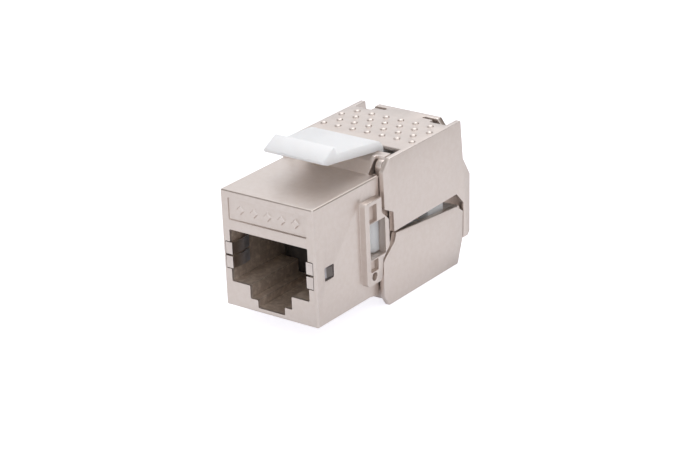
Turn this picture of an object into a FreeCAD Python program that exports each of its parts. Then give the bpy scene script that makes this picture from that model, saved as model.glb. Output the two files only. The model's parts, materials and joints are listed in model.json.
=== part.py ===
import FreeCAD, Part
import math
import os

V = FreeCAD.Vector

# Shielded tool-less keystone jack, millimetres.
# Working frame: X to the right seen from the port, Y from the port towards the cable, Z up.
# y = 0 is the front face, z = 0 the underside of the front block. The finished pieces are moved so
# that the origin is the middle of the jack's footprint on the surface it stands on.

# --- front block, which fills the panel opening ---
block_width = 14.5
block_height = 15.8
block_length = 13.6
block_round = 0.25
flare_length = 2.0            # the underside dips over this length, next to the lower shell
flare_drop = 0.4
rear_relief = 0.6             # the block's lower rear edge is this much shorter
panel_thickness = 1.6

# --- RJ45 port ---
port_wall = 1.15
port_top = 10.48
port_depth = 10.0
shoulder_height = 3.45        # the plug's sides ride on the shoulders
key_half = 3.27               # first step of the keyway
key_height = 1.7
tab_half = 2.1                # slot for the plug's tab
tab_height = 0.65

# --- label field above the port ---
label_sill = 1.42             # above the port
label_drop = 1.0              # below the block's top
label_depth = 0.28

# --- room for the insert behind and above the port ---
room_floor = 0.95
room_margin = 1.2             # metal left above the insert
bridge_half = 4.75            # the contact carrier's bridge over the port
bridge_front = 2.5

# --- fixed hook under the block ---
hook_width = 10.0
hook_drop = 1.3
hook_land = 1.0
hook_ramp = 1.8

# --- panel stop ribs on the sides, with their windows ---
rib_height = 0.95
rib_front = 9.4
rib_bottom = 2.1
rib_drop = 2.4                # rib's upper end below the block's top
rib_step = 0.65               # rear edge above and below the bulge, in front of the block's rear
rib_lap = 0.8                 # the bulge reaches this far behind the block
rib_slant = 0.7               # corner bevels
bulge_up = 2.0                # ends of the bulge above and below the middle
bulge_down = 1.45
relief_drop = 2.2             # the block's rear step lies this far below the bulge
window_inset = 0.85           # from the rib's front edge
window_length = 3.25
window_up = 2.6               # ends of the window above and below the middle
window_down = 2.25
pocket_depth = 0.7
pocket_width = 1.6
pocket_web = 0.15             # metal between a pocket and the window
pocket_edge = 0.55
drain_radius = 0.55
drain_rise = 1.1              # above the rib's lower end
drain_inset = 0.7             # behind the window's front

# --- ground springs ---
spring_thickness = 0.25
spring_width = 3.5
spring_split = 0.3
spring_slot_depth = 4.4
spring_finger = 3.4
spring_skin = 0.35            # wall left outside the slot
spring_bulge = 0.28
barb_front = 1.95
barb_length = 1.85
barb_height = 1.75
barb_drop = 0.4               # below the middle of the spring
notch_depth = 0.4

# --- shells ---
shell_overhang = 0.8          # the shells stand this much outside the block
shell_wall = 0.78
shell_gap = 0.16
roof_rise = 1.94              # shell top above the block top
shell_drop = 2.06             # shell bottom below the block bottom
front_gap = 0.12              # between the block's rear edges and the shells
front_bevel = 1.5             # upper front corner of the upper shell
sole_bevel = 1.0              # lower front corner of the lower shell
plate_gap = 0.9               # between the latch's tail and the upper shell's plate
lower_plate_gap = 1.1         # between the floor ledge and the lower shell's plate
shell_rear = 31.1
rear_gap = 2.35               # the top plate ends this far in front of the rear wall's face
bulge_depth = 1.9             # the cable wall reaches this far behind the shells
bulge_rise = 1.91             # its rearmost line, above the middle
waist_rise = 4.55             # the rear wall begins to slope out here
waist_depth = 0.39
leg_clear = 3.21              # the legs beside the cable end this far above the shell's bottom
leg_thickness = 0.95
leg_taper = 0.33
leg_bevel = 0.5
knee_drop = 2.81              # the shells' rear edges meet this far below the middle
knee_depth = 0.25
mouth_drop = 1.68             # lower lip of the gap between the side walls, below the middle
mouth_depth = 1.34
sole_depth = 1.25             # the lower shell's sole ends in front of its rear wall
seam_gap = 0.14
seam_drop = 0.24              # the seam lies this far below the middle
tongue_half = 3.0
tongue_step = 4.7
tongue_step_length = 0.8
rear_wall_half = 5.0
rear_wall_slant = 0.7         # its ends slope outwards by this
rear_wall_drop = 1.1          # height of the openings beside the rear wall
cable_radius = 3.6
pip_pitch_x = 2.35
pip_pitch_y = 1.95
pip_radius = 0.45
pip_height = 0.22
pip_crown = 0.2               # radius of a pip's flat top
pip_sides = 10
pip_rows = 4
pip_columns = 6               # and one more in every second row
pip_inset = 1.5               # last row, in front of the plate's rear edge

# --- hinges ---
upper_hinge_lap = 1.9         # behind the block's rear
upper_hinge_drop = 1.44       # below the shell's top
lower_hinge_lap = 1.8
lower_hinge_rise = 1.76       # above the shell's bottom
trunnion_radius = 0.6
trunnion_clearance = 0.05
trunnion_length = 0.8
ear_radius = 1.05
cavity_lap = 0.3              # the cavity in front of an upper ear starts in the block
cavity_depth = 0.9            # below the block's top
cavity_wall = 0.4             # metal left outside it

# --- roof, ledge and rear shroud of the front housing ---
roof_lap = 0.4                # the roof's slope starts this far in front of the block's rear
roof_inset = 1.25             # narrower than the block, each side
ledge_lap = 1.3               # the ledge starts this far behind the block
ledge_length = 1.85
shroud_lap = 4.3              # the shroud ends this far behind the block
cast_wall = 0.9
floor_ledge_short = 0.7       # the floor ledge ends in front of the shroud
floor_ledge_gap = 0.2         # clear of the surface the jack stands on

# --- latch ---
latch_tab_inset = 2.6         # narrower than the block, each side
latch_root_inset = 1.95
latch_front = 5.8
latch_nose_bottom = 1.5       # heights above the ledge
latch_nose_top = 1.87
latch_ridge_y = 8.35
latch_ridge_rise = 3.17
latch_step = 1.0
latch_step_run = 0.3
latch_under_y = 7.0
latch_under_rise = 1.05
latch_arm_lap = 0.9           # the arm lies flat from this far behind the ledge's front
latch_arm_rise = 0.06         # underside of the arm above the ledge
latch_arm_thickness = 1.3
latch_elbow_radius = 1.5
latch_tail_thickness = 0.8
latch_foot_length = 1.4
latch_foot_height = 0.7
latch_foot_gap = 0.2          # above the shroud
latch_tail_gap = 0.1
latch_flex_lap = 1.3          # the arm bends from this far behind the ledge's front
latch_flex_depth = 0.4        # saddle in the ledge's front edge, for the bent arm

# --- inner pieces ---
fit = 0.1                     # clearance of plastic pieces in the casting
contact_pitch = 1.02
contact_count = 8
contact_width = 0.35
contact_thickness = 0.3
contact_rise = 0.92           # straight run, above the port
contact_bend_lap = 1.5        # its bend, behind the bridge's front
contact_bend_radius = 0.7
contact_slope = 20.0
contact_free_length = 6.3
groove_bottom = 5.5           # the free ends dip into grooves down to here
groove_depth = 0.6
carrier_length = 2.5
board_thickness = 1.5
board_side_gap = 0.75
board_floor_gap = 0.35
board_roof_gap = 0.4
pin_inset = 0.1               # pins end this far inside the board
terminal_margin = 1.37        # outermost terminal's middle, inside the shroud
terminal_clear = 0.7          # upper row above the contacts' straight runs
terminal_width = 2.0
terminal_thickness = 0.4
terminal_slot = 0.34
terminal_reach = 2.0          # prongs stand out of their block
terminal_bevel = 0.6
terminal_gap = 0.8            # from the board to the terminal's shoulder
terminal_fork = 3.2
terminal_pin = 0.5
idc_flange_length = 3.0
idc_lap_top = 0.35            # the flange covers the shroud's walls by these
idc_lap_bottom = 1.45
arm_thickness = 0.5
arm_inset = 0.15              # the snap arm's tip, behind the window's front
arm_margin = 0.2
nose_run = 2.05               # the snap's nose rises over this length, to the block's side
manager_gap = 0.15
manager_rear_gap = 2.72       # from the wire manager to the shells' rear
manager_roof_gap = 1.34       # under the upper shell's plate
manager_floor_gap = 0.56
side_channel_inset = 5.3      # wires leave through channels outside this
side_channel_up = 1.5
side_channel_down = 3.4
side_channel_rear = 24.6
manager_round = 0.5
wire_channel = 1.3
wire_channel_depth = 1.2
manager_bore_margin = 0.3

# --- worked out from the sizes above ---
half = block_width / 2
port_half = half - port_wall
top = block_height + roof_rise
bottom = -shell_drop
middle = (top + bottom) / 2
shell_outer = half + shell_overhang
shell_inner = shell_outer - shell_wall
shroud_outer = shell_inner - shell_gap
shroud_inner = shroud_outer - cast_wall
room_top = block_height - room_margin
relief = block_length - rear_relief
rib_outer = half + rib_height
rib_top = block_height - rib_drop
rib_mid = block_length - rib_step
rib_rear = block_length + rib_lap
bulge_bottom = middle - bulge_down
bulge_top = middle + bulge_up
relief_top = bulge_bottom - relief_drop
window_front = rib_front + window_inset
window_rear = window_front + window_length
window_bottom = middle - window_down
window_top = middle + window_up
spring_centre = (port_top + shoulder_height) / 2
upper_front = block_length + front_gap
lower_front = relief + front_gap
upper_hinge_y = block_length + upper_hinge_lap
upper_hinge_z = top - upper_hinge_drop
lower_hinge_y = block_length + lower_hinge_lap
lower_hinge_z = bottom + lower_hinge_rise
roof_foot = block_length - roof_lap
roof_half = half - roof_inset
ledge_front = block_length + ledge_lap
ledge_rear = ledge_front + ledge_length
shroud_rear = block_length + shroud_lap
floor_ledge_rear = shroud_rear - floor_ledge_short
latch_tail = ledge_rear + latch_tail_gap
latch_rear = latch_tail + latch_tail_thickness
latch_root_half = half - latch_root_inset
latch_flex_y = ledge_front + latch_flex_lap
plate_front = latch_rear + plate_gap
plate_rear = shell_rear - rear_gap
lower_plate_front = floor_ledge_rear + lower_plate_gap
lower_rear = shell_rear - seam_gap
bulge_rear = shell_rear + bulge_depth
leg_bottom = bottom + leg_clear
knee = middle - knee_drop
waist = middle + waist_rise
carrier_front = port_depth + fit
carrier_rear = carrier_front + carrier_length
board_half = shroud_inner - board_side_gap
board_front = carrier_rear + fit
board_rear = board_front + board_thickness
idc_front = board_rear + fit
idc_flange = shroud_rear + fit
idc_rear = idc_flange + idc_flange_length
idc_flange_top = room_top + idc_lap_top
idc_flange_bottom = room_floor - idc_lap_bottom
contact_run = port_top + contact_rise
terminal_high = contact_run + terminal_clear
terminal_low = 2 * middle - terminal_high
contact_bend_y = bridge_front + contact_bend_lap
terminal_root = board_rear + terminal_gap
terminal_tip = idc_rear + terminal_reach
manager_front = idc_rear + manager_gap
manager_rear = shell_rear - manager_rear_gap
manager_top = top - shell_wall - manager_roof_gap
manager_bottom = bottom + shell_wall + manager_floor_gap


def box(x0, x1, y0, y1, z0, z1):
    return Part.makeBox(x1 - x0, y1 - y0, z1 - z0, V(x0, y0, z0))


def side_prism(outline, x0, x1):
    """A closed (y, z) outline pushed from x0 to x1."""
    corners = [V(x0, y, z) for y, z in outline]
    return Part.Face(Part.makePolygon(corners + corners[:1])).extrude(V(x1 - x0, 0, 0))


def front_prism(outline, y0, y1):
    """A closed (x, z) outline pushed from y0 to y1."""
    corners = [V(x, y0, z) for x, z in outline]
    return Part.Face(Part.makePolygon(corners + corners[:1])).extrude(V(0, y1 - y0, 0))


def plan_prism(outline, z0, z1):
    """A closed (x, y) outline pushed from z0 to z1."""
    corners = [V(x, y, z0) for x, y in outline]
    return Part.Face(Part.makePolygon(corners + corners[:1])).extrude(V(0, 0, z1 - z0))


def symmetric(outline):
    """Complete an outline of (x, other) points given for x >= 0, from one end to the other."""
    return outline + [(-x, other) for x, other in reversed(outline)]


def cross_pin(radius, x0, x1, y, z):
    """A round pin along X."""
    return Part.makeCylinder(radius, x1 - x0, V(x0, y, z), V(1, 0, 0))


def mirrored(shape):
    return shape.mirror(V(0, 0, 0), V(1, 0, 0))


def both(shapes):
    """The shapes and their mirror images across the jack's middle plane."""
    return shapes + [mirrored(shape) for shape in shapes]


def fuse(shapes):
    return shapes[0].multiFuse(shapes[1:]).removeSplitter()


def round_edges(shape, radius, chosen):
    edges = [edge for edge in shape.Edges if chosen(edge)]
    return shape.makeFillet(radius, edges)


def ribbon(start, heading, moves, thickness, x0, x1):
    """A strip of even thickness bent in the YZ plane.

    Each move is ("run", length) or ("turn", degrees, radius).
    """
    y, z = start
    angle = math.radians(heading)

    def rim(side):
        return V(x0, y - side * thickness / 2 * math.sin(angle), z + side * thickness / 2 * math.cos(angle))

    sides = {1: [], -1: []}
    begin = {side: rim(side) for side in sides}
    for move in moves:
        first = {side: rim(side) for side in sides}
        if move[0] == "run":
            y += move[1] * math.cos(angle)
            z += move[1] * math.sin(angle)
            for side in sides:
                sides[side].append(Part.LineSegment(first[side], rim(side)).toShape())
        else:
            turn, radius = math.radians(move[1]), move[2]
            way = math.copysign(1, turn)
            cy = y - way * radius * math.sin(angle)
            cz = z + way * radius * math.cos(angle)
            through = {}
            for part in (0.5, 1.0):
                heading_now = angle + turn * part
                y = cy + way * radius * math.sin(heading_now)
                z = cz - way * radius * math.cos(heading_now)
                kept, angle = angle, heading_now
                through[part] = {side: rim(side) for side in sides}
                if part < 1:
                    angle = kept
            for side in sides:
                arc = Part.Arc(first[side], through[0.5][side], through[1.0][side])
                sides[side].append(arc.toShape())
    caps = [Part.LineSegment(begin[1], begin[-1]).toShape(), Part.LineSegment(rim(1), rim(-1)).toShape()]
    loop = Part.__sortEdges__(sides[1] + sides[-1] + caps)
    return Part.Face(Part.Wire(loop)).extrude(V(x1 - x0, 0, 0))


def contact_places():
    first = -(contact_count - 1) / 2
    return [(first + index) * contact_pitch for index in range(contact_count)]


def terminal_places():
    """Centres (x, z) of the terminals, the upper row first, from left to right."""
    outermost = shroud_inner - terminal_margin
    across = [outermost * share for share in (-1, -1 / 3, 1 / 3, 1)]
    return [(x, z) for z in (terminal_high, terminal_low) for x in across]


# --- front housing ---

def latch_saddle():
    """A shallow slope in the ledge, which leaves the latch's arm room to bend."""
    return side_prism([
        (latch_flex_y, top + 1),
        (latch_flex_y, top - 0.02),
        (roof_foot, top - latch_flex_depth * (latch_flex_y - roof_foot) / (latch_flex_y - ledge_front)),
        (roof_foot, top + 1),
    ], -latch_root_half - fit, latch_root_half + fit)


def port_outline():
    return symmetric([
        (port_half, port_top),
        (port_half, shoulder_height),
        (key_half, shoulder_height),
        (key_half, key_height),
        (tab_half, key_height),
        (tab_half, tab_height),
    ])


def block():
    """The outer form of the block, with its long and front edges rounded."""
    outline = [
        (0, 0),
        (relief - flare_length, 0),
        (relief, -flare_drop),
        (relief, relief_top),
        (block_length, relief_top + rear_relief),
        (block_length, block_height),
        (0, block_height),
    ]
    body = side_prism(outline, -half, half)

    def outer(edge):
        middle_point = edge.CenterOfMass
        at_front = abs(middle_point.y) < 0.01
        at_side = abs(abs(middle_point.x) - half) < 0.01 and middle_point.z > block_height - 0.01
        return at_front or at_side

    return round_edges(body, block_round, outer)


def roof():
    """The slope behind the block, up to the ledge that carries the latch."""
    inner = ledge_front + cast_wall / 2
    slope = side_prism([
        (roof_foot, block_height),
        (ledge_front, top),
        (ledge_rear, top),
        (ledge_rear, top - cast_wall),
        (inner, top - cast_wall),
        (block_length, block_height - cast_wall),
        (roof_foot, block_height - cast_wall),
    ], -roof_half, roof_half)
    ledge = box(-shroud_outer, shroud_outer, ledge_front + cast_wall / 2, ledge_rear, top - cast_wall, top)
    return fuse([slope, ledge])


def floor_ledge():
    """The same form under the block, between the block and the lower shell's plate."""
    low = bottom + floor_ledge_gap
    return side_prism([
        (relief - flare_length, 0),
        (relief, -flare_drop),
        (relief + cast_wall, -flare_drop - cast_wall),
        (ledge_front, low),
        (floor_ledge_rear, low),
        (floor_ledge_rear, room_floor - cast_wall),
        (relief - flare_length, room_floor - cast_wall / 2),
    ], -shroud_inner, shroud_inner)


def shroud():
    """The box behind the block that holds the inner pieces, with the four hinge ears."""
    start = block_length - cast_wall
    walls = [
        box(-shroud_outer, shroud_outer, start, shroud_rear, room_top, room_top + cast_wall),
        box(-shroud_outer, shroud_outer, start, shroud_rear, room_floor - cast_wall, room_floor),
    ]
    side = box(shroud_inner, shroud_outer, start, shroud_rear, room_floor - cast_wall, room_top + cast_wall)
    upper_ear = fuse([
        cross_pin(ear_radius, shroud_inner, shroud_outer, upper_hinge_y, upper_hinge_z),
        box(shroud_inner, shroud_outer, upper_hinge_y - ear_radius, ledge_rear, room_top, upper_hinge_z),
        box(shroud_inner, shroud_outer, upper_hinge_y, ledge_rear, room_top, top),
    ])
    lower_ear = fuse([
        cross_pin(ear_radius, shroud_inner, shroud_outer, lower_hinge_y, lower_hinge_z),
        box(shroud_inner, shroud_outer, lower_hinge_y - ear_radius, lower_hinge_y + ear_radius,
            lower_hinge_z, room_floor),
    ])
    return fuse(walls + both([side, upper_ear, lower_ear]))


def panel_hook():
    rear = rib_front - panel_thickness
    return side_prism([
        (rear - hook_land - hook_ramp, 0),
        (rear - hook_land, -hook_drop),
        (rear, -hook_drop),
        (rear, room_floor / 2),
        (rear - hook_land - hook_ramp, room_floor / 2),
    ], -hook_width / 2, hook_width / 2)


def panel_rib():
    """The rib on the right side that stops at the panel, with its bulge round the window."""
    slant = rib_slant
    outline = [
        (rib_front, rib_bottom + slant / 2),
        (rib_front, rib_top - slant / 2),
        (rib_front + slant / 2, rib_top),
        (rib_mid, rib_top),
        (rib_mid, bulge_top + 2 * slant),
        (rib_rear, bulge_top),
        (rib_rear, bulge_bottom),
        (rib_mid, bulge_bottom - 2 * slant),
        (rib_mid - slant / 2, rib_bottom + slant / 2),
        (rib_mid - slant, rib_bottom),
        (rib_front + slant / 2, rib_bottom),
    ]
    return side_prism(outline, shroud_inner, rib_outer)


def rib_cuts():
    """The through window and the blind pockets above and below it, right side."""
    window = box(shroud_inner - 1, rib_outer + 1, window_front, window_rear, window_bottom, window_top)
    deep = rib_outer - pocket_depth
    upper = box(deep, rib_outer + 1, window_front, window_front + pocket_width,
                window_top + pocket_web, rib_top - pocket_edge)
    lower = box(deep, rib_outer + 1, window_front, window_front + pocket_width,
                rib_bottom + drain_rise + drain_radius + pocket_web, window_bottom - pocket_web)
    drain = cross_pin(drain_radius, deep - drain_radius, rib_outer + 1, window_front + drain_inset,
                      rib_bottom + drain_rise)
    return [window, upper, lower, drain]


def spring_seat():
    """The slot, the front notch and the barb's hole in the right wall."""
    low = spring_centre - spring_width / 2 - fit
    high = spring_centre + spring_width / 2 + fit
    barb = spring_centre - barb_drop
    outer = half - spring_skin
    inner = outer - spring_thickness - fit
    slot = box(inner, outer, -1, spring_slot_depth, low, high)
    notch = box(port_half - 0.01, outer, -1, notch_depth, low, high)
    hole = box(inner, half + 1, barb_front, barb_front + barb_length,
               barb - barb_height / 2, barb + barb_height / 2)
    return [slot, notch, hole]


def front_housing():
    body = fuse([block(), roof(), floor_ledge(), shroud(), panel_hook()] + both([panel_rib()]))
    cuts = [
        front_prism(port_outline(), -1, port_depth + 1),
        box(-shroud_inner, shroud_inner, port_depth, shroud_rear + 1, room_floor, room_top),
        box(-bridge_half, bridge_half, bridge_front, port_depth + 1, port_top - 1, room_top),
        box(-port_half, port_half, -1, label_depth, port_top + label_sill, block_height - label_drop),
        latch_saddle(),
    ]
    cuts += both(rib_cuts() + spring_seat())
    hole = trunnion_radius + trunnion_clearance
    cuts += both([
        box(roof_half, half - cavity_wall, block_length - cavity_lap, upper_hinge_y - ear_radius,
            block_height - cavity_depth, top + 1),
        cross_pin(hole, shroud_inner - 1, shroud_outer + 1, upper_hinge_y, upper_hinge_z),
        cross_pin(hole, shroud_inner - 1, shroud_outer + 1, lower_hinge_y, lower_hinge_z),
    ])
    return body.cut(cuts).removeSplitter()


# --- pieces in the port ---

def ground_spring():
    """Right spring: a leg in the wall's slot with its barb, folded round the wall to two fingers."""
    low = spring_centre - spring_width / 2
    high = spring_centre + spring_width / 2
    outer = half - spring_skin - fit / 2
    leg = box(outer - spring_thickness, outer, notch_depth / 2, spring_slot_depth - fit, low, high)
    barb_z = spring_centre - barb_drop
    barb = plan_prism([
        (outer - spring_thickness, barb_front + 0.3),
        (outer, barb_front + 0.3),
        (outer + spring_skin, barb_front + barb_length - 0.3),
        (outer, barb_front + barb_length - 0.3),
    ], barb_z - barb_height / 2 + 0.2, barb_z + barb_height / 2 - 0.2)
    finger_outer = port_half - 0.02
    fold = box(finger_outer - spring_thickness, outer, 0.02, notch_depth / 2 + 0.02 + spring_thickness / 2,
               low, high)
    fold = fold.cut(box(finger_outer, outer - spring_thickness, spring_thickness, 5, low - 1, high + 1))
    finger = plan_prism([
        (finger_outer - spring_thickness, 0.1),
        (finger_outer, 0.1),
        (finger_outer - spring_bulge, spring_finger * 0.6),
        (finger_outer - 0.02, spring_finger),
        (finger_outer - 0.02 - spring_thickness, spring_finger),
        (finger_outer - spring_bulge - spring_thickness, spring_finger * 0.6),
    ], low, high)
    split = box(finger_outer - 2, finger_outer + 0.1, 0.6, spring_finger + 1,
                spring_centre - spring_split / 2, spring_centre + spring_split / 2)
    split_fold = box(finger_outer - 2, half, -1, 0.61,
                     spring_centre - spring_split / 2, spring_centre + spring_split / 2)
    return fuse([leg, barb, fold, finger]).cut([split, split_fold])


def contact_carrier():
    """The insulating insert: a wall behind the port and a bridge over it, grooved for the contacts."""
    side = board_half + fit / 2
    wall = box(-side, side, carrier_front, carrier_rear, room_floor + fit, room_top - fit)
    bridge = box(-bridge_half + fit, bridge_half - fit, bridge_front + fit, carrier_front + 0.1,
                 port_top + fit, room_top - fit)
    body = fuse([wall, bridge])
    grooves = []
    reach = (contact_thickness + fit) / 2
    wide = (contact_width + fit) / 2
    high = contact_run + reach
    for x in contact_places():
        grooves.append(box(x - wide, x + wide, 0, carrier_rear + 1, contact_run - reach, high))
        grooves.append(box(x - wide, x + wide, 0, carrier_front, port_top, high))
        grooves.append(box(x - wide, x + wide, carrier_front - 1, carrier_front + groove_depth,
                           groove_bottom, high))
    return body.cut(grooves)


def contact(x):
    """One spring contact, from its pin in the board to its free end in the port."""
    pin = board_rear - pin_inset
    moves = [
        ("run", pin - contact_bend_y),
        ("turn", 180 - contact_slope, contact_bend_radius),
        ("run", contact_free_length),
    ]
    side = contact_width / 2
    return ribbon((pin, contact_run), 180, moves, contact_thickness, x - side, x + side)


def circuit_board():
    board = box(-board_half, board_half, board_front, board_rear, room_floor + board_floor_gap,
                room_top - board_roof_gap)
    slots = [(x, contact_run, contact_width, contact_thickness) for x in contact_places()]
    slots += [(x, z, terminal_pin, terminal_thickness) for x, z in terminal_places()]
    holes = []
    for x, z, width, height in slots:
        wide = (width + fit) / 2
        high = (height + fit) / 2
        holes.append(box(x - wide, x + wide, 0, board_rear + 1, z - high, z + high))
    return board.cut(holes)


# --- insulation-displacement block ---

def idc_terminal(x, z):
    wide = terminal_width / 2
    gap = terminal_slot / 2
    prong = (wide + gap) / 2
    outline = symmetric([
        (terminal_pin / 2, board_front + pin_inset),
        (terminal_pin / 2, terminal_root),
        (wide, terminal_root),
        (wide, terminal_tip - terminal_bevel),
        (prong, terminal_tip),
        (gap, terminal_tip - terminal_bevel),
        (gap, terminal_tip - terminal_fork),
    ])
    outline = [(x + across, y) for across, y in outline]
    return plan_prism(outline, z - terminal_thickness / 2, z + terminal_thickness / 2)


def side_channels(y0, y1):
    """Openings at both sides, for the wires."""
    return both([box(side_channel_inset, half + 1, y0, y1, middle - side_channel_down,
                     middle + side_channel_up)])


def idc_housing():
    """White block behind the board, with a flange on the shroud and two snap arms in the rib windows."""
    inner = shroud_inner - fit
    outer = shroud_outer - fit
    body = box(-inner, inner, idc_front, idc_flange + 0.5, room_floor + fit, room_top - fit)
    flange = box(-outer, outer, idc_flange, idc_rear, idc_flange_bottom, idc_flange_top)
    arm_low = window_bottom + arm_margin
    arm_high = window_top - arm_margin
    arm_front = window_front + arm_inset
    arm = box(inner - arm_thickness, inner, arm_front, idc_front + 1, arm_low, arm_high)
    nose = plan_prism([
        (inner - arm_thickness / 2, arm_front),
        (inner, arm_front),
        (half, window_front + nose_run),
        (half, window_rear - fit),
        (inner - arm_thickness / 2, window_rear - fit),
    ], arm_low, arm_high)
    body = fuse([body, flange] + both([arm, nose]))
    cuts = side_channels(idc_flange, idc_rear + 1)
    for x, z in terminal_places():
        high = z + terminal_thickness / 2 + fit / 2
        low = z - terminal_thickness / 2 - fit / 2
        wide = terminal_width / 2 + fit / 2
        cuts.append(box(x - wide, x + wide, terminal_root - fit, idc_rear + 1, low, high))
        pin = terminal_pin / 2 + fit / 2
        cuts.append(box(x - pin, x + pin, idc_front - 1, terminal_root, low, high))
        toward = idc_flange_top + 1 if z > middle else idc_flange_bottom - 1
        z0, z1 = sorted((middle, toward))
        wire = wire_channel / 2
        cuts.append(box(x - wire, x + wire, idc_rear - wire_channel_depth, idc_rear + 1, z0, z1))
    return body.cut(cuts)


def wire_manager():
    """White cap that holds the wires over the terminals, with a bore for the cable."""
    outer = shroud_outer - fit
    body = box(-outer, outer, manager_front, manager_rear, manager_bottom, manager_top)

    def rear_edge(edge):
        return edge.CenterOfMass.y > manager_rear - 0.01

    body = round_edges(body, manager_round, rear_edge)
    length = manager_rear - manager_front
    bore = cable_radius - manager_bore_margin
    cuts = [Part.makeCylinder(bore, length + 2, V(0, manager_front - 1, middle), V(0, 1, 0))]
    cuts += side_channels(manager_front - 1, side_channel_rear)
    for x, z in terminal_places():
        wide = terminal_width / 2 + fit
        cuts.append(box(x - wide, x + wide, manager_front - 1, terminal_tip + 2 * fit,
                        z - terminal_thickness / 2 - fit, z + terminal_thickness / 2 + fit))
        toward = manager_top + 1 if z > middle else manager_bottom - 1
        z0, z1 = sorted((middle, toward))
        wire = wire_channel / 2
        cuts.append(box(x - wire, x + wire, manager_front - 1, manager_front + wire_channel_depth, z0, z1))
    return body.cut(cuts)


# --- latch ---

def latch():
    """Panel latch: tab, arm over the ledge, and a tail with its foot hooked under the ledge."""
    foot_bottom = room_top + cast_wall + latch_foot_gap
    foot_top = foot_bottom + latch_foot_height
    arm_under = top + latch_arm_rise
    arm_y = ledge_front + latch_arm_lap
    arm_top = arm_under + latch_arm_thickness
    ridge = top + latch_ridge_rise
    step_y = latch_ridge_y + latch_step_run
    elbow_y = latch_rear - latch_elbow_radius
    elbow_z = arm_top - latch_elbow_radius
    corner = math.sqrt(0.5) * latch_elbow_radius
    lines = [
        (latch_front + fit, top + latch_nose_bottom),
        (latch_front, top + latch_nose_top),
        (latch_ridge_y, ridge),
        (step_y, ridge - latch_step),
        (arm_y, arm_top + fit),
        (elbow_y, arm_top),
    ]
    points = [V(0, y, z) for y, z in lines]
    edges = [Part.LineSegment(a, b).toShape() for a, b in zip(points, points[1:])]
    elbow_end = V(0, latch_rear, elbow_z)
    edges.append(Part.Arc(points[-1], V(0, elbow_y + corner, elbow_z + corner), elbow_end).toShape())
    rest = [
        (latch_rear, foot_bottom),
        (latch_tail - latch_foot_length, foot_bottom),
        (latch_tail - latch_foot_length, foot_top),
        (latch_tail, foot_top),
        (latch_tail, arm_under),
        (arm_y, arm_under),
        (latch_under_y, top + latch_under_rise),
        lines[0],
    ]
    points = [elbow_end] + [V(0, y, z) for y, z in rest]
    edges += [Part.LineSegment(a, b).toShape() for a, b in zip(points, points[1:])]
    face = Part.Face(Part.Wire(edges))
    face.translate(V(-latch_root_half, 0, 0))
    body = face.extrude(V(2 * latch_root_half, 0, 0))
    tab_side = half - latch_tab_inset
    plan = plan_prism(symmetric([
        (tab_side, latch_front - 1),
        (tab_side, step_y),
        (latch_root_half, arm_y),
        (latch_root_half, latch_rear + 1),
    ]), foot_bottom - 1, ridge + 1)
    return body.common(plan)


# --- rear shells ---

def upper_side():
    """Outline of the upper shell's side wall."""
    seam = middle - seam_drop
    return [
        (upper_front, top - front_bevel),
        (upper_front + front_bevel, top),
        (shell_rear, top),
        (shell_rear + waist_depth, waist),
        (bulge_rear, middle + bulge_rise),
        (bulge_rear - leg_taper, leg_bottom + leg_bevel),
        (bulge_rear - leg_taper - leg_bevel, leg_bottom),
        (shell_rear, leg_bottom),
        (shell_rear + knee_depth, knee),
        (shell_rear + knee_depth, middle - mouth_drop),
        (shell_rear - mouth_depth, middle),
        (rib_rear + 1.7, seam),
        (rib_rear + 1.25, seam),
        (rib_rear + 1.2, bulge_top + 0.5),
        (upper_front, bulge_top + 1.45),
    ]


def lower_side():
    """Outline of the lower shell's side wall."""
    return [
        (lower_front, bottom + 1.5 * sole_bevel),
        (lower_front + sole_bevel, bottom),
        (lower_rear - sole_depth, bottom),
        (lower_rear, leg_bottom),
        (lower_rear + knee_depth, knee),
        (lower_rear - mouth_depth, middle - mouth_drop),
        (rib_rear + 1.7, middle - 2 * seam_drop),
        (rib_rear + 1.25, bulge_bottom - 0.2),
        (upper_front, relief_top + rear_relief),
        (lower_front, relief_top),
    ]


def cable_arch(low, high):
    """A bore for the cable through both rear walls, opened up or down between two heights."""
    reach = 2 * (bulge_depth + leg_thickness)
    round_hole = Part.makeCylinder(cable_radius, 2 * reach, V(0, shell_rear - reach, middle), V(0, 1, 0))
    slot = box(-cable_radius, cable_radius, shell_rear - reach, shell_rear + reach, low, high)
    return [round_hole, slot]


def pip(x, y):
    """A low knob with straight sides, small enough to be faceted."""
    rims = []
    for radius, z in ((pip_radius, top), (pip_crown, top + pip_height)):
        turns = [2 * math.pi * side / pip_sides for side in range(pip_sides)]
        corners = [V(x + radius * math.cos(turn), y + radius * math.sin(turn), z) for turn in turns]
        rims.append(Part.makePolygon(corners + corners[:1]))
    return Part.makeLoft(rims, True, True)


def pips():
    """Staggered gripping pips on the top plate."""
    shapes = []
    for row in range(pip_rows):
        count = pip_columns + row % 2
        y = plate_rear - pip_inset - row * pip_pitch_y
        for column in range(count):
            x = (column - (count - 1) / 2) * pip_pitch_x
            shapes.append(pip(x, y))
    return shapes


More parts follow.
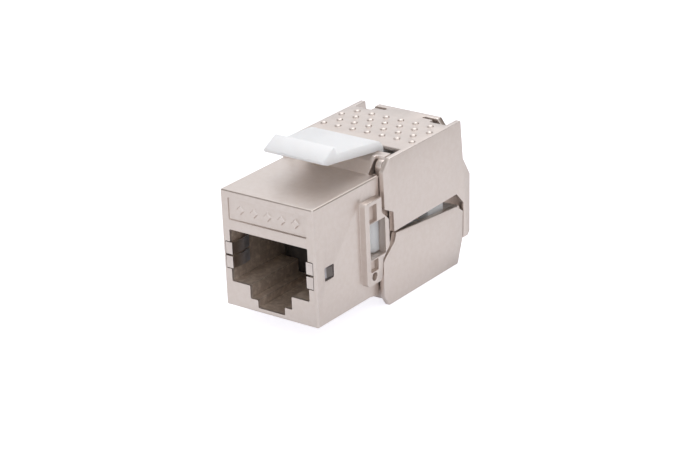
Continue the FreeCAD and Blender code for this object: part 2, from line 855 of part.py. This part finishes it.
def upper_shell():
    wall = side_prism(upper_side(), shell_inner, shell_outer)
    trunnion = cross_pin(trunnion_radius, shell_inner - trunnion_length, shell_inner + shell_wall / 2,
                         upper_hinge_y, upper_hinge_z)
    bevel = shell_wall / 2
    side = shell_inner + shell_wall / 2
    under = top - shell_wall
    plate = plan_prism(symmetric([
        (side, plate_front),
        (side, plate_rear),
        (tongue_step, plate_rear),
        (tongue_step, plate_rear + tongue_step_length),
        (tongue_half, plate_rear + tongue_step_length),
        (tongue_half, shell_rear),
    ]), under, top)
    plate = plate.cut(side_prism([
        (plate_front - 1, under - 1),
        (plate_front + bevel + 1, under - 1),
        (plate_front + bevel, under),
        (plate_front, under + bevel),
        (plate_front - 1, under + bevel),
    ], -half, half))
    leg_front = bulge_rear - leg_thickness
    rear = side_prism([
        (shell_rear, top),
        (shell_rear + waist_depth, waist),
        (bulge_rear, middle + bulge_rise),
        (bulge_rear - leg_taper, leg_bottom + leg_bevel),
        (bulge_rear - leg_taper - leg_bevel, leg_bottom),
        (leg_front - leg_taper, leg_bottom),
        (leg_front, middle + bulge_rise - leg_taper),
        (shell_rear + waist_depth - leg_thickness, waist - leg_taper),
        (shell_rear - leg_thickness, top),
    ], -side, side)
    corner = front_prism([
        (rear_wall_half, top + 1),
        (rear_wall_half, top),
        (rear_wall_half + rear_wall_slant, top - rear_wall_drop),
        (shell_inner, top - rear_wall_drop),
        (shell_inner, top + 1),
    ], plate_rear, bulge_rear)
    rear = rear.cut(both([corner])).cut(cable_arch(leg_bottom - 1, middle))
    return fuse([plate, rear] + both([wall, trunnion]) + pips())


def lower_shell():
    wall = side_prism(lower_side(), shell_inner, shell_outer)
    trunnion = cross_pin(trunnion_radius, shell_inner - trunnion_length, shell_inner + shell_wall / 2,
                         lower_hinge_y, lower_hinge_z)
    side = shell_inner + shell_wall / 2
    sole_rear = lower_rear - sole_depth
    inner = lower_rear - leg_thickness
    plate = box(-side, side, lower_plate_front, sole_rear, bottom, bottom + shell_wall)
    back = side_prism([
        (sole_rear, bottom),
        (lower_rear, leg_bottom),
        (lower_rear + knee_depth, knee),
        (lower_rear - leg_taper, knee + leg_thickness),
        (inner + knee_depth, knee + leg_taper),
        (inner, leg_bottom + leg_taper),
        (sole_rear - leg_thickness, bottom + shell_wall / 2),
        (sole_rear - leg_thickness, bottom),
    ], -side, side).cut(cable_arch(middle, top))
    return fuse([plate, back] + both([wall, trunnion]))


# --- all pieces, moved to the jack's own frame ---

def pieces():
    found = {
        "front_housing": front_housing(),
        "ground_spring_right": ground_spring(),
        "ground_spring_left": mirrored(ground_spring()),
        "contact_carrier": contact_carrier(),
        "circuit_board": circuit_board(),
        "idc_housing": idc_housing(),
        "wire_manager": wire_manager(),
        "latch": latch(),
        "upper_shell": upper_shell(),
        "lower_shell": lower_shell(),
    }
    for index, x in enumerate(contact_places(), 1):
        found[f"contact_{index}"] = contact(x)
    for index, (x, z) in enumerate(terminal_places(), 1):
        found[f"idc_terminal_{index}"] = idc_terminal(x, z)
    return found


to_frame = V(0, -bulge_rear / 2, -bottom)
os.makedirs("parts", exist_ok=True)
for name, shape in pieces().items():
    shape.translate(to_frame)
    solid = shape.Solids[0] if len(shape.Solids) == 1 else shape
    solid.exportStep(f"parts/{name}.step")
    print(name, len(shape.Solids), shape.isValid(), round(shape.Volume, 2))
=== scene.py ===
import json
import math

import bmesh
import bpy
from mathutils import Matrix, Vector
from mathutils.geometry import intersect_point_line


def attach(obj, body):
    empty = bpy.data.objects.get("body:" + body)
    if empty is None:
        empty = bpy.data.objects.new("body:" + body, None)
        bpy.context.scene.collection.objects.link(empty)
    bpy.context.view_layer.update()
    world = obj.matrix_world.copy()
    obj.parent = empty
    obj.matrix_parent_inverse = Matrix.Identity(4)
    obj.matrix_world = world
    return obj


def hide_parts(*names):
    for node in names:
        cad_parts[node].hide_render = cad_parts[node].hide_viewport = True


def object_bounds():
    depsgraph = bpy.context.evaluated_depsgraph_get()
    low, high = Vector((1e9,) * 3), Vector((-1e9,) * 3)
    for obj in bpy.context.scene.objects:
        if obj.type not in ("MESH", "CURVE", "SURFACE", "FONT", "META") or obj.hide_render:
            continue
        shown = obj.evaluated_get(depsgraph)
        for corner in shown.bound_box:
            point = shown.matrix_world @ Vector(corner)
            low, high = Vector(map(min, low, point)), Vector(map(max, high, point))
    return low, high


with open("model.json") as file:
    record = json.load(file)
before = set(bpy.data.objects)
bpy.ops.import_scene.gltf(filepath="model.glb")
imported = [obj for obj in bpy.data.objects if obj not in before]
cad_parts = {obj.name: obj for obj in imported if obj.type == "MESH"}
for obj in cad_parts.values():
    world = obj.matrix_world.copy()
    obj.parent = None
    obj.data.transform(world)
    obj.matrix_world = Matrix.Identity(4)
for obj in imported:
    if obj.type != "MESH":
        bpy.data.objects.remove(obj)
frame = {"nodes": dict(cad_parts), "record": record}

MM = 0.001
cad_low, cad_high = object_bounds()

# --- sizes of what is added here, in metres ---
CASTING_EDGE = 0.11 * MM          # radius left on the casting's edges by the die and the tumbling
PLASTIC_EDGE = 0.10 * MM
PLATING_GRAIN = 0.13 * MM         # size of the grains in the plated skin
FLOW_WAVE = 2.6 * MM              # slow waves left by the metal's flow in the die

SHARP = math.radians(32)          # edges sharper than this are rounded
LEAST_SHARE = 0.2                 # an edge with less room than this stays sharp
BESIDE_FLAT = 0.9                 # share of the free width a rounding may take, next to a flat edge
BESIDE_ROUNDED = 0.45             # and next to an edge that is rounded too
AT_ROUNDED_CORNER = 0.42
SMOOTH_UP_TO = 40                 # degrees between faces that shade as one surface
WELD = 0.002 * MM                 # corners nearer than this are one

# --- places of the jack's features: y from the port's face, z from the block's underside ---
FACE = cad_low.y
SOLE = cad_low.z + 2.06 * MM
PIP_PITCH = (2.35 * MM, 1.95 * MM)
PIP_ROWS = 4
PIP_COLUMNS = 6
LAST_PIPS = FACE + 27.25 * MM
PLATE_TOP = 17.74 * MM
KNOB_RADIUS = 0.48 * MM
KNOB_HEIGHT = 0.26 * MM
PORT_HALF = 6.3 * MM              # just outside the port's walls
PORT_TOP = 10.9 * MM
PORT_DEPTH = 15.0 * MM
BARB_SHADE_FROM = 6.95 * MM                  # the ground springs' barbs stand outside this; there they are painted dark as painted shade of their holes
SEAMS = {
    "front_housing": [(0, 0.0), (1, FACE + 2.9 * MM), (1, FACE + 11.05 * MM), (1, FACE + 15.45 * MM)],
    "upper_shell": [(0, 0.0)] + [(1, LAST_PIPS - row * PIP_PITCH[1]) for row in range(PIP_ROWS)],
    "lower_shell": [(0, 0.0)],
    "wire_manager": [(0, 0.0)],
    "idc_housing": [(0, 0.0), (2, SOLE + 3.58 * MM), (2, SOLE + 12.1 * MM)],
    "contact_carrier": [(0, 0.0)],
}

# --- inside the port: a duller skin, and painted shade that makes its base browner and darker ---
PORT_SKIN_AND_SHADE = (0.47, 0.37, 0.30)
PORT_SKIN_AND_SHADE_PALE = (0.70, 0.58, 0.48)
PORT_DULLNESS = 0.6               # how much less metallic it is

# --- light: brightness as a mirror would show it ---
ROOM_LEVEL = 1.0
ROOM_TINT = (0.955, 0.97, 1.0)
OPENING_TINT = (1.0, 0.84, 0.70)
FLOOR_WHITE = 0.78                # the floor's own light, seen straight
FLOOR_MIRRORED = 0.36             # and seen in metal
# each opening: azimuth from the port's side to the right, elevation, inner and outer radius, all in
# degrees, and its change of brightness; the ones that darken are brown, and the last is a bright patch
OPENINGS = [
    (-50, 34, 18, 32, -0.85),
    (152, 20, 20, 33, -0.85),
    (178, 56, 12, 26, 0.60),
]

# --- which bodies and nodes there are ---
NODES = frame["nodes"]
BODY = {node: body for body, nodes in frame["record"]["behaviour"]["bodies"].items() for node in nodes}


# --- shader maths ---

class Field:
    """A socket of a shader tree. Arithmetic on it adds Math nodes."""

    def __init__(self, owner, socket):
        self.owner = owner
        self.socket = socket

    def math(self, operation, *values):
        return self.owner.node("ShaderNodeMath", {"operation": operation}, dict(enumerate(values)))

    def __add__(self, other):
        return self.math("ADD", self, other)

    __radd__ = __add__

    def __sub__(self, other):
        return self.math("SUBTRACT", self, other)

    def __rsub__(self, other):
        return self.math("SUBTRACT", other, self)

    def __mul__(self, other):
        return self.math("MULTIPLY", self, other)

    __rmul__ = __mul__

    def __truediv__(self, other):
        return self.math("DIVIDE", self, other)

    def size(self):
        return self.math("ABSOLUTE", self)

    def rounded_down(self):
        return self.math("FLOOR", self)

    def above(self, level):
        """1 above the level, 0 below it."""
        return self.math("GREATER_THAN", self, level)

    def between(self, low, high):
        """0 below low, 1 above high and a smooth step between them."""
        settings = {"interpolation_type": "SMOOTHSTEP"}
        inputs = {"Value": self, "From Min": low, "From Max": high}
        return self.owner.node("ShaderNodeMapRange", settings, inputs)


class Shading:
    """A shader tree, with one way to add nodes to it."""

    def __init__(self, tree):
        self.tree = tree

    def feed(self, socket, value):
        if isinstance(value, Field):
            self.tree.links.new(value.socket, socket)
        else:
            socket.default_value = value

    def node(self, kind, settings, inputs, output=0):
        """Add a node: its settings first, then the values or links of its sockets."""
        made = self.tree.nodes.new(kind)
        for name, value in settings.items():
            setattr(made, name, value)
        for name, value in inputs.items():
            self.feed(made.inputs[name], value)
        return Field(self, made.outputs[output])

    def mix(self, amount, first, second):
        """A colour between two others."""
        inputs = {"Factor": amount, 6: first, 7: second}
        return self.node("ShaderNodeMix", {"data_type": "RGBA"}, inputs, 2)


class Finish(Shading):
    """A procedural material on a piece's own coordinates."""

    def __init__(self, name, **surface):
        self.material = bpy.data.materials.new(name)
        self.material.use_nodes = True
        super().__init__(self.material.node_tree)
        self.shader = self.tree.nodes["Principled BSDF"]
        for socket, value in surface.items():
            self.shader.inputs[socket.replace("_", " ")].default_value = value
        self.place = self.node("ShaderNodeTexCoord", {}, {}, "Object")

    def noise(self, size, detail=2.0, roughness=0.5, stretch=(1, 1, 1)):
        """Noise from 0 to 1 whose features are about this size in metres."""
        along = self.node("ShaderNodeMapping", {}, {"Vector": self.place, "Scale": stretch})
        inputs = {"Vector": along, "Scale": 1 / size, "Detail": detail, "Roughness": roughness}
        return self.node("ShaderNodeTexNoise", {}, inputs, "Fac")

    def along(self, axis):
        """The place along one axis, in metres."""
        return self.node("ShaderNodeSeparateXYZ", {}, {"Vector": self.place}, axis)

    def inside_port(self):
        """1 on the port's walls, fading to 0 at its mouth."""
        depth = self.along(1)
        deep = depth.between(FACE + 0.05 * MM, FACE + 0.6 * MM) * (1 - depth.above(FACE + PORT_DEPTH))
        narrow = 1 - self.along(0).size().above(PORT_HALF)
        height = self.along(2)
        return deep * narrow * height.above(SOLE + 0.5 * MM) * (1 - height.above(SOLE + PORT_TOP))

    def bump(self, height, strength, distance):
        inputs = {"Height": height, "Strength": strength, "Distance": distance}
        return self.node("ShaderNodeBump", {}, inputs)

    def edges(self, radius):
        """1 on edges rounder than this radius, 0 on the flats."""
        soft = self.node("ShaderNodeBevel", {"samples": 4}, {"Radius": radius})
        face = self.node("ShaderNodeNewGeometry", {}, {}, "Normal")
        same = self.node("ShaderNodeVectorMath", {"operation": "DOT_PRODUCT"}, {0: soft, 1: face}, "Value")
        return (1 - same).between(0.01, 0.12)

    def paint(self, **links):
        for name, value in links.items():
            self.feed(self.shader.inputs[name.replace("_", " ")], value)
        return self.material


def colour(red, green, blue):
    return (red, green, blue, 1.0)


# --- finishes ---

def plated_casting():
    """Satin nickel over die-cast zinc: a fine grain, slow waves and edges polished by tumbling.

    Inside the port the skin is duller and less metallic, and its base is painted browner and darker as
    painted shade of the deep port.
    """
    finish = Finish("plated_casting", Coat_Weight=0.0)
    grain = finish.noise(PLATING_GRAIN, 3.0, 0.6)
    blotch = finish.noise(5 * PLATING_GRAIN, 3.0, 0.6)
    wave = finish.noise(FLOW_WAVE, 2.0, 0.4)
    worn = finish.edges(1.5 * CASTING_EDGE)
    inside = finish.inside_port()
    base = finish.mix(blotch.between(0.3, 0.7), colour(0.690, 0.610, 0.560), colour(0.715, 0.640, 0.595))
    base = finish.mix(worn, base, colour(0.78, 0.71, 0.67))
    # painted shade: inside the port the base turns darker and browner, partly a duller skin
    port_skin_and_shade = finish.mix(blotch.between(0.4, 0.8), colour(*PORT_SKIN_AND_SHADE), colour(*PORT_SKIN_AND_SHADE_PALE))
    base = finish.mix(inside, base, port_skin_and_shade)
    roughness = 0.32 + 0.10 * grain + 0.04 * wave - 0.20 * worn
    skin = finish.bump(grain, 0.30, 0.012 * MM)
    waves = finish.node("ShaderNodeBump", {}, {"Height": wave, "Strength": 0.30, "Distance": 0.02 * MM,
                                               "Normal": skin})
    return finish.paint(Base_Color=base, Roughness=roughness, Metallic=1 - PORT_DULLNESS * inside,
                        Normal=waves)


def moulded_white(name, base, deep, roughness):
    """White plastic that lets some light through, with a faint spark-eroded skin."""
    finish = Finish(name, Specular_IOR_Level=0.5, Subsurface_Weight=0.85, Subsurface_Scale=3.0 * MM,
                    Subsurface_Radius=(1.0, 0.95, 0.9))
    skin = finish.noise(0.08 * MM, 2.0, 0.5)
    shade = finish.noise(3.0 * MM, 2.0, 0.5)
    worn = finish.edges(PLASTIC_EDGE)
    tint = finish.mix(shade.between(0.35, 0.65), colour(*deep), colour(*base))
    tint = finish.mix(worn * 0.5, tint, colour(0.92, 0.92, 0.92))
    return finish.paint(Base_Color=tint, Roughness=roughness + 0.12 * skin - 0.08 * worn,
                        Normal=finish.bump(skin, 0.25, 0.01 * MM))


def moulded_black():
    finish = Finish("black_insert", Specular_IOR_Level=0.45)
    skin = finish.noise(0.09 * MM, 2.0, 0.5)
    dust = finish.noise(1.2 * MM, 4.0, 0.6)
    tint = finish.mix(dust.between(0.45, 0.8), colour(0.030, 0.025, 0.022), colour(0.065, 0.055, 0.048))
    return finish.paint(Base_Color=tint, Roughness=0.42 + 0.2 * skin,
                        Normal=finish.bump(skin, 0.3, 0.01 * MM))


def solder_mask():
    finish = Finish("solder_mask", Coat_Weight=0.4)
    weave = finish.noise(0.25 * MM, 1.0, 0.4, (1, 1, 1))
    shade = finish.noise(2.0 * MM, 2.0, 0.5)
    tint = finish.mix(shade, colour(0.015, 0.10, 0.045), colour(0.025, 0.16, 0.07))
    return finish.paint(Base_Color=tint, Roughness=0.30 + 0.12 * weave,
                        Normal=finish.bump(weave, 0.2, 0.01 * MM))


def spring_steel():
    """Rolled strip with fine lines along its length: bright at the folds. Deeper in the port it is painted
    darker and less metallic, and the barbs in the side holes are painted dark, both as painted shade.
    """
    finish = Finish("spring_steel")
    lines = finish.noise(0.05 * MM, 2.0, 0.6, (1, 0.12, 1))
    blotch = finish.noise(0.9 * MM, 2.0, 0.5)
    worn = finish.edges(0.08 * MM)
    tint = finish.mix(blotch.between(0.3, 0.7), colour(0.66, 0.59, 0.55), colour(0.71, 0.64, 0.60))
    tint = finish.mix(worn, tint, colour(0.76, 0.70, 0.67))
    # painted shade: deeper in the port the fingers are painted darker and made less metallic
    port_shade_tint = finish.mix(blotch.between(0.3, 0.7), colour(0.30, 0.28, 0.29), colour(0.42, 0.41, 0.45))
    deep = finish.along(1).between(FACE + 0.6 * MM, FACE + 3.2 * MM)
    tint = finish.mix(deep, tint, port_shade_tint)
    # painted shade: the barbs, inside the block's side holes, are painted dark
    tint = finish.mix(finish.along(0).size().above(BARB_SHADE_FROM), tint, colour(0.16, 0.14, 0.13))
    return finish.paint(Base_Color=tint, Metallic=1 - 0.5 * deep,
                        Roughness=0.26 + 0.12 * lines, Normal=finish.bump(lines, 0.2, 0.004 * MM))


def gold_wire():
    finish = Finish("gold_wire", Metallic=1.0)
    lines = finish.noise(0.04 * MM, 2.0, 0.6, (1, 0.15, 1))
    blotch = finish.noise(0.7 * MM, 2.0, 0.5)
    tint = finish.mix(blotch.between(0.3, 0.7), colour(0.80, 0.56, 0.22), colour(0.90, 0.68, 0.33))
    return finish.paint(Base_Color=tint, Roughness=0.18 + 0.15 * lines,
                        Normal=finish.bump(lines, 0.2, 0.004 * MM))


def tinned_bronze():
    finish = Finish("tinned_bronze", Metallic=1.0)
    pits = finish.noise(0.07 * MM, 3.0, 0.6)
    blotch = finish.noise(0.8 * MM, 2.0, 0.5)
    worn = finish.edges(0.06 * MM)
    tint = finish.mix(blotch.between(0.3, 0.7), colour(0.60, 0.59, 0.57), colour(0.74, 0.73, 0.70))
    return finish.paint(Base_Color=finish.mix(worn, tint, colour(0.80, 0.66, 0.46)),
                        Roughness=0.24 + 0.16 * pits, Normal=finish.bump(pits, 0.25, 0.006 * MM))


# --- pieces that stand for nodes, with the rounded edges that the solids leave out ---

def is_sharp(edge):
    return len(edge.link_faces) == 2 and edge.calc_face_angle(0) >= SHARP


def room_beside(edge, other):
    """How wide a rounding of this edge the other one, round the same face, leaves room for."""
    shared = [end for end in edge.verts if end in other.verts]
    if not shared:
        gaps = []
        for first, second in ((edge, other), (other, edge)):
            start, finish = (end.co for end in second.verts)
            for end in first.verts:
                place, share = intersect_point_line(end.co, start, finish)
                place = start.lerp(finish, min(max(share, 0.0), 1.0))
                gaps.append((end.co - place).length)
        return min(gaps) * (BESIDE_ROUNDED if is_sharp(other) else BESIDE_FLAT)
    corner = shared[0]
    along = edge.other_vert(corner).co - corner.co
    aside = other.other_vert(corner).co - corner.co
    turn = along.angle(aside)
    if is_sharp(other):
        return AT_ROUNDED_CORNER * aside.length * math.tan(turn / 2)
    return BESIDE_FLAT * aside.length * math.sin(min(turn, math.pi / 2))


def edge_shares(form, width):
    """Store how much of the full rounding each sharp edge has room for, from 0 to 1."""
    shares = form.edges.layers.float.new("bevel_weight_edge")
    for edge in form.edges:
        if is_sharp(edge):
            room = [room_beside(edge, other) for face in edge.link_faces for other in face.edges
                    if other is not edge]
            share = min(1.0, min(room) / width)
            edge[shares] = share if share > LEAST_SHARE else 0.0


def seam(form, axis, place):
    """Cut the faces along a plane, so that none is left with a hole in it."""
    normal = [0, 0, 0]
    normal[axis] = 1
    origin = [0, 0, 0]
    origin[axis] = place
    everything = form.verts[:] + form.edges[:] + form.faces[:]
    cut = bmesh.ops.bisect_plane(form, geom=everything, plane_co=origin, plane_no=normal, dist=0.001 * MM)
    for item in cut["geom_cut"]:
        if isinstance(item, bmesh.types.BMEdge):
            item.seam = True


def rounded(name, width, material):
    """A copy of a node with its sharp edges rounded, standing for it."""
    source = NODES[name]
    mesh = source.data.copy()
    mesh.materials.clear()
    mesh.materials.append(material)
    form = bmesh.new()
    form.from_mesh(mesh)
    bmesh.ops.remove_doubles(form, verts=form.verts, dist=WELD)
    for axis, place in SEAMS.get(name, []):
        seam(form, axis, place)
    bmesh.ops.dissolve_limit(form, angle_limit=math.radians(0.5), verts=form.verts, edges=form.edges,
                             delimit={"NORMAL", "SEAM"})
    edge_shares(form, width)
    form.to_mesh(mesh)
    form.free()
    piece = bpy.data.objects.new(name + "_finished", mesh)
    bpy.context.collection.objects.link(piece)
    bevel = piece.modifiers.new("edges", "BEVEL")
    bevel.width = width
    bevel.segments = 2
    bevel.limit_method = "WEIGHT"
    bevel.use_clamp_overlap = False
    bevel.miter_outer = "MITER_ARC"
    make_plain(piece)
    smooth_by_angle(piece.data, SMOOTH_UP_TO)
    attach(piece, BODY[name])
    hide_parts(name)
    return piece


def make_plain(piece):
    """Turn a piece's modifiers into its mesh."""
    graph = bpy.context.evaluated_depsgraph_get()
    done = bpy.data.meshes.new_from_object(piece.evaluated_get(graph))
    piece.modifiers.clear()
    piece.data = done


def smooth_by_angle(mesh, degrees):
    """Smooth shading across gentle edges, hard across the rest."""
    mesh.shade_smooth()
    form = bmesh.new()
    form.from_mesh(mesh)
    for edge in form.edges:
        edge.smooth = len(edge.link_faces) == 2 and edge.calc_face_angle(0) < math.radians(degrees)
    form.to_mesh(mesh)
    form.free()


# --- what repeats: the knobs on the top plate and the marks in the label field ---

def grown(name, build, sizes, material, body):
    """A piece that a Geometry Nodes tree makes from named sizes."""
    tree = bpy.data.node_groups.new(name, "GeometryNodeTree")
    tree.interface.new_socket("Geometry", in_out="OUTPUT", socket_type="NodeSocketGeometry")
    kinds = {int: "NodeSocketInt", float: "NodeSocketFloat"}
    inputs = {label: tree.interface.new_socket(label, in_out="INPUT", socket_type=kinds[type(value)])
              for label, value in sizes.items()}
    shaping = Shading(tree)
    entry = tree.nodes.new("NodeGroupInput")
    shape = build(shaping, {label: Field(shaping, entry.outputs[label]) for label in sizes})
    real = shaping.node("GeometryNodeRealizeInstances", {}, {"Geometry": shape})
    done = shaping.node("GeometryNodeSetMaterial", {}, {"Geometry": real, "Material": material})
    shaping.feed(tree.nodes.new("NodeGroupOutput").inputs["Geometry"], done)
    piece = bpy.data.objects.new(name, bpy.data.meshes.new(name))
    bpy.context.collection.objects.link(piece)
    modifier = piece.modifiers.new("shape", "NODES")
    modifier.node_group = tree
    for label, value in sizes.items():
        modifier[inputs[label].identifier] = value
    make_plain(piece)
    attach(piece, body)
    return piece


def knob_rows(shaping, size):
    """Domed knobs in staggered rows, one more in every second row."""
    index = shaping.node("GeometryNodeInputIndex", {}, {})
    in_pair = 2 * size["Columns"] + 1
    pair = (index / in_pair).rounded_down()
    place = index - pair * in_pair
    second = (place + 0.5).above(size["Columns"])
    column = place - second * size["Columns"]
    x = (column - (size["Columns"] - 1) * 0.5 - second * 0.5) * size["Pitch across"]
    y = size["Last row"] - (pair * 2 + second) * size["Pitch along"]
    spot = shaping.node("ShaderNodeCombineXYZ", {}, {"X": x, "Y": y, "Z": size["Plate"]})
    count = in_pair * size["Rows"] * 0.5
    points = shaping.node("GeometryNodePoints", {}, {"Count": count, "Position": spot})
    ball = shaping.node("GeometryNodeMeshUVSphere", {},
                        {"Segments": 20, "Rings": 12, "Radius": size["Radius"]})
    squash = shaping.node("ShaderNodeCombineXYZ", {},
                          {"X": 1.0, "Y": 1.0, "Z": size["Height"] / size["Radius"]})
    return shaping.node("GeometryNodeInstanceOnPoints", {},
                        {"Points": points, "Instance": ball, "Scale": squash})


def mark_row(shaping, size):
    """A row of plain raised lozenges, standing in the label field."""
    line = shaping.node("GeometryNodeMeshLine", {}, {
        "Count": size["Count"],
        "Start Location": shaping.node("ShaderNodeCombineXYZ", {}, {
            "X": (size["Count"] - 1) * size["Pitch"] * -0.5, "Y": size["Field"], "Z": size["Level"]}),
        "Offset": shaping.node("ShaderNodeCombineXYZ", {}, {"X": size["Pitch"]}),
    })
    stud = shaping.node("GeometryNodeMeshCone", {}, {
        "Vertices": 4, "Radius Top": size["Width"] * 0.36, "Radius Bottom": size["Width"] * 0.5,
        "Depth": size["Relief"]})
    turned = shaping.node("GeometryNodeTransform", {}, {
        "Geometry": stud, "Rotation": (math.pi / 2, 0.0, 0.0),
        "Scale": shaping.node("ShaderNodeCombineXYZ", {}, {"X": 1.0, "Y": 1.0, "Z": size["Slenderness"]})})
    return shaping.node("GeometryNodeInstanceOnPoints", {}, {"Points": line, "Instance": turned})


def knobs(material):
    sizes = {"Rows": PIP_ROWS, "Columns": PIP_COLUMNS,
             "Pitch across": PIP_PITCH[0], "Pitch along": PIP_PITCH[1],
             "Last row": LAST_PIPS, "Plate": SOLE + PLATE_TOP,
             "Radius": KNOB_RADIUS, "Height": KNOB_HEIGHT}
    piece = grown("plate_knobs", knob_rows, sizes, material, BODY["upper_shell"])
    piece.data.shade_smooth()


def label_marks(material):
    sizes = {"Count": 5, "Pitch": 2.15 * MM, "Field": FACE + 0.28 * MM, "Level": SOLE + 13.35 * MM,
             "Width": 1.35 * MM, "Slenderness": 1.35, "Relief": 0.13 * MM}
    grown("label_marks", mark_row, sizes, material, BODY["front_housing"])


# --- studio ---

def floor():
    """A plain white floor that keeps the jack's soft shadow."""
    half = 2.0
    mesh = bpy.data.meshes.new("floor")
    corners = [(-half, -half, 0), (half, -half, 0), (half, half, 0), (-half, half, 0)]
    mesh.from_pydata(corners, [], [(0, 1, 2, 3)])
    piece = bpy.data.objects.new("floor", mesh)
    piece.location.z = -0.01 * MM
    bpy.context.collection.objects.link(piece)
    finish = Finish("floor_paint", Specular_IOR_Level=0.0, Roughness=0.9, Base_Color=colour(0.62, 0.62, 0.62),
                    Emission_Color=colour(0.94, 0.94, 1.0))
    seen = finish.node("ShaderNodeLightPath", {}, {}, "Is Camera Ray")
    mirrored = finish.node("ShaderNodeLightPath", {}, {}, "Is Glossy Ray")
    finish.paint(Emission_Strength=FLOOR_WHITE * seen + FLOOR_MIRRORED * mirrored)
    mesh.materials.append(finish.material)


def surroundings():
    """A white room with brown openings and a bright patch, and plain white behind the jack."""
    world = bpy.data.worlds.new("studio")
    world.use_nodes = True
    bpy.context.scene.world = world
    room = Shading(world.node_tree)
    direction = room.node("ShaderNodeTexCoord", {}, {}, "Generated")
    light = ROOM_LEVEL
    shade = 0.0
    for azimuth, elevation, inner, outer, change in OPENINGS:
        turn, rise = math.radians(azimuth), math.radians(elevation)
        axis = (math.sin(turn) * math.cos(rise), -math.cos(turn) * math.cos(rise), math.sin(rise))
        along = room.node("ShaderNodeVectorMath", {"operation": "DOT_PRODUCT"},
                          {0: direction, 1: axis}, "Value")
        near = along.between(math.cos(math.radians(outer)), math.cos(math.radians(inner)))
        light = light + change * near
        if change < 0:
            shade = shade + near
    seen = room.node("ShaderNodeLightPath", {}, {}, "Is Camera Ray")
    tint = room.mix(shade, colour(*ROOM_TINT), colour(*OPENING_TINT))
    background = room.tree.nodes["Background"]
    room.feed(background.inputs["Color"], room.mix(seen, tint, colour(1, 1, 1)))
    room.feed(background.inputs["Strength"], light + seen * (1 - light))


def softbox(name, place, target, size, level):
    """An area light; level is the brightness that a mirror would show in it."""
    light = bpy.data.lights.new(name, "AREA")
    light.shape = "RECTANGLE"
    light.size, light.size_y = size
    light.energy = level * math.pi * size[0] * size[1]
    lamp = bpy.data.objects.new(name, light)
    lamp.location = place
    lamp.rotation_euler = (Vector(target) - Vector(place)).to_track_quat("-Z", "Y").to_euler()
    bpy.context.collection.objects.link(lamp)


def studio():
    floor()
    surroundings()
    middle = (cad_low + cad_high) / 2
    softbox("overhead", (-0.10, 0.25, 0.80), middle, (0.5, 0.4), 1.6)


def camera():
    """A long lens, as in a catalogue picture, a little off level."""
    azimuth, elevation, roll = map(math.radians, (37.33, 22.57, -2.41))
    distance, across, upward = 301.0 * MM, 1.80 * MM, -0.56 * MM
    target = Vector((0, cad_low.y + 14.0 * MM, cad_low.z + 10.06 * MM))
    back = Vector((math.sin(azimuth) * math.cos(elevation), -math.cos(azimuth) * math.cos(elevation),
                   math.sin(elevation)))
    right = Vector((math.cos(azimuth), math.sin(azimuth), 0))
    level = back.cross(right)
    tilted_right = math.cos(roll) * right + math.sin(roll) * level
    tilted_up = math.cos(roll) * level - math.sin(roll) * right
    data = bpy.data.cameras.new("camera")
    data.sensor_width = 36
    data.lens = 120.5
    data.clip_start = 0.01
    eye = bpy.data.objects.new("camera", data)
    bpy.context.collection.objects.link(eye)
    turn = Matrix((tilted_right, tilted_up, back)).transposed().to_4x4()
    place = target + back * distance + tilted_right * across + tilted_up * upward
    eye.matrix_world = Matrix.Translation(place) @ turn
    bpy.context.scene.camera = eye


# --- the jack ---

def dress():
    casting = plated_casting()
    white = moulded_white("white_insert", (0.84, 0.84, 0.84), (0.825, 0.825, 0.825), 0.36)
    latch_white = moulded_white("white_latch", (0.94, 0.92, 0.915), (0.925, 0.905, 0.90), 0.30)
    steel, gold, tin = spring_steel(), gold_wire(), tinned_bronze()
    board, black = solder_mask(), moulded_black()
    for name in ("front_housing", "upper_shell", "lower_shell"):
        rounded(name, CASTING_EDGE, casting)
    knobs(casting)
    label_marks(casting)
    rounded("latch", PLASTIC_EDGE, latch_white)
    rounded("wire_manager", PLASTIC_EDGE, white)
    rounded("idc_housing", PLASTIC_EDGE / 2, white)
    rounded("contact_carrier", PLASTIC_EDGE / 2, black)
    plain = {"ground_spring_right": steel, "ground_spring_left": steel, "circuit_board": board}
    for name, piece in NODES.items():
        if name in plain:
            finish = plain[name]
        elif name.startswith("idc_terminal"):
            finish = tin
        elif name.startswith("contact_") and name != "contact_carrier":
            finish = gold
        else:
            continue
        piece.data.materials.clear()
        piece.data.materials.append(finish)


dress()
studio()
camera()

bpy.context.scene.view_settings.view_transform = "Standard"
